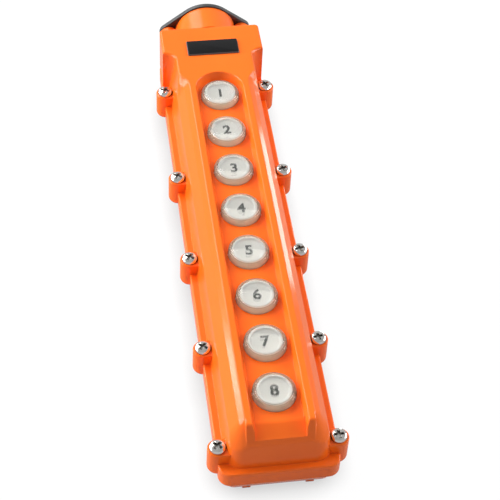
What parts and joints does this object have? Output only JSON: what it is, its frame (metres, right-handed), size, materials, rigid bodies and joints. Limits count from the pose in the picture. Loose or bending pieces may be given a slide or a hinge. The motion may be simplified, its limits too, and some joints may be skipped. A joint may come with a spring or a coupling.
{
  "type": "pendant switch",
  "caption": "Long orange hand-held control case with a row of clear-capped push buttons in a recessed channel, screw lugs along both sides and a cable neck with a clamp plate.",
  "frame": {"origin": "middle of the overall length and width, on the plane that the rear feet stand on", "axes": "+X to the right, +Y along the case towards the cable neck, +Z out of the button face"},
  "size_m": [0.0784, 0.3616, 0.052],
  "materials": {
    "orange_case": "semi-gloss moulded plastic",
    "black_rubber": "matt rubber",
    "polished_screw": "polished steel",
    "black_gloss": "gloss black",
    "black_clamp": "black finish, worn edge",
    "plated_steel": "zinc plated",
    "brass_contact": "plain brass",
    "block_plastic": "moulded thermoset",
    "white_button": "moulded plastic",
    "clear_cap": "clear moulded plastic"
  },
  "bodies": {
    "housing": {"front_cover": "orange_case", "rear_housing": "orange_case", "housing_gasket": "black_rubber", "cover_screws": "polished_screw", "nameplate": "black_gloss", "cable_clamp_plate": "black_clamp", "clamp_plate_screws": "polished_screw", "cable_bush": "black_rubber", "button_seals": "black_rubber", "switch_chassis": "plated_steel", "chassis_screws": "polished_screw", "fixed_contacts": "brass_contact", "terminal_screws": "polished_screw", "switch_block_1": "block_plastic", "switch_block_2": "block_plastic", "switch_block_3": "block_plastic", "switch_block_4": "block_plastic", "switch_block_5": "block_plastic", "switch_block_6": "block_plastic", "switch_block_7": "block_plastic", "switch_block_8": "block_plastic", "return_spring_1": "plated_steel", "return_spring_2": "plated_steel", "return_spring_3": "plated_steel", "return_spring_4": "plated_steel", "return_spring_5": "plated_steel", "return_spring_6": "plated_steel", "return_spring_7": "plated_steel", "return_spring_8": "plated_steel"},
    "button_1": {"button_cap_1": "clear_cap", "button_body_1": "white_button", "contact_bridge_1": "brass_contact"},
    "button_2": {"button_cap_2": "clear_cap", "button_body_2": "white_button", "contact_bridge_2": "brass_contact"},
    "button_3": {"button_cap_3": "clear_cap", "button_body_3": "white_button", "contact_bridge_3": "brass_contact"},
    "button_4": {"button_cap_4": "clear_cap", "button_body_4": "white_button", "contact_bridge_4": "brass_contact"},
    "button_5": {"button_cap_5": "clear_cap", "button_body_5": "white_button", "contact_bridge_5": "brass_contact"},
    "button_6": {"button_cap_6": "clear_cap", "button_body_6": "white_button", "contact_bridge_6": "brass_contact"},
    "button_7": {"button_cap_7": "clear_cap", "button_body_7": "white_button", "contact_bridge_7": "brass_contact"},
    "button_8": {"button_cap_8": "clear_cap", "button_body_8": "white_button", "contact_bridge_8": "brass_contact"}
  },
  "joints": [
    {"name": "button_1_press", "type": "slide", "parent": "housing", "child": "button_1", "axis": [0, 0, -1], "range_m": [0, 0.004], "stiffness_N_per_m": 800, "springref_m": -0.005, "deforming": ["return_spring_1"]},
    {"name": "button_2_press", "type": "slide", "parent": "housing", "child": "button_2", "axis": [0, 0, -1], "range_m": [0, 0.004], "stiffness_N_per_m": 800, "springref_m": -0.005, "deforming": ["return_spring_2"]},
    {"name": "button_3_press", "type": "slide", "parent": "housing", "child": "button_3", "axis": [0, 0, -1], "range_m": [0, 0.004], "stiffness_N_per_m": 800, "springref_m": -0.005, "deforming": ["return_spring_3"]},
    {"name": "button_4_press", "type": "slide", "parent": "housing", "child": "button_4", "axis": [0, 0, -1], "range_m": [0, 0.004], "stiffness_N_per_m": 800, "springref_m": -0.005, "deforming": ["return_spring_4"]},
    {"name": "button_5_press", "type": "slide", "parent": "housing", "child": "button_5", "axis": [0, 0, -1], "range_m": [0, 0.004], "stiffness_N_per_m": 800, "springref_m": -0.005, "deforming": ["return_spring_5"]},
    {"name": "button_6_press", "type": "slide", "parent": "housing", "child": "button_6", "axis": [0, 0, -1], "range_m": [0, 0.004], "stiffness_N_per_m": 800, "springref_m": -0.005, "deforming": ["return_spring_6"]},
    {"name": "button_7_press", "type": "slide", "parent": "housing", "child": "button_7", "axis": [0, 0, -1], "range_m": [0, 0.004], "stiffness_N_per_m": 800, "springref_m": -0.005, "deforming": ["return_spring_7"]},
    {"name": "button_8_press", "type": "slide", "parent": "housing", "child": "button_8", "axis": [0, 0, -1], "range_m": [0, 0.004], "stiffness_N_per_m": 800, "springref_m": -0.005, "deforming": ["return_spring_8"]}
  ]
}
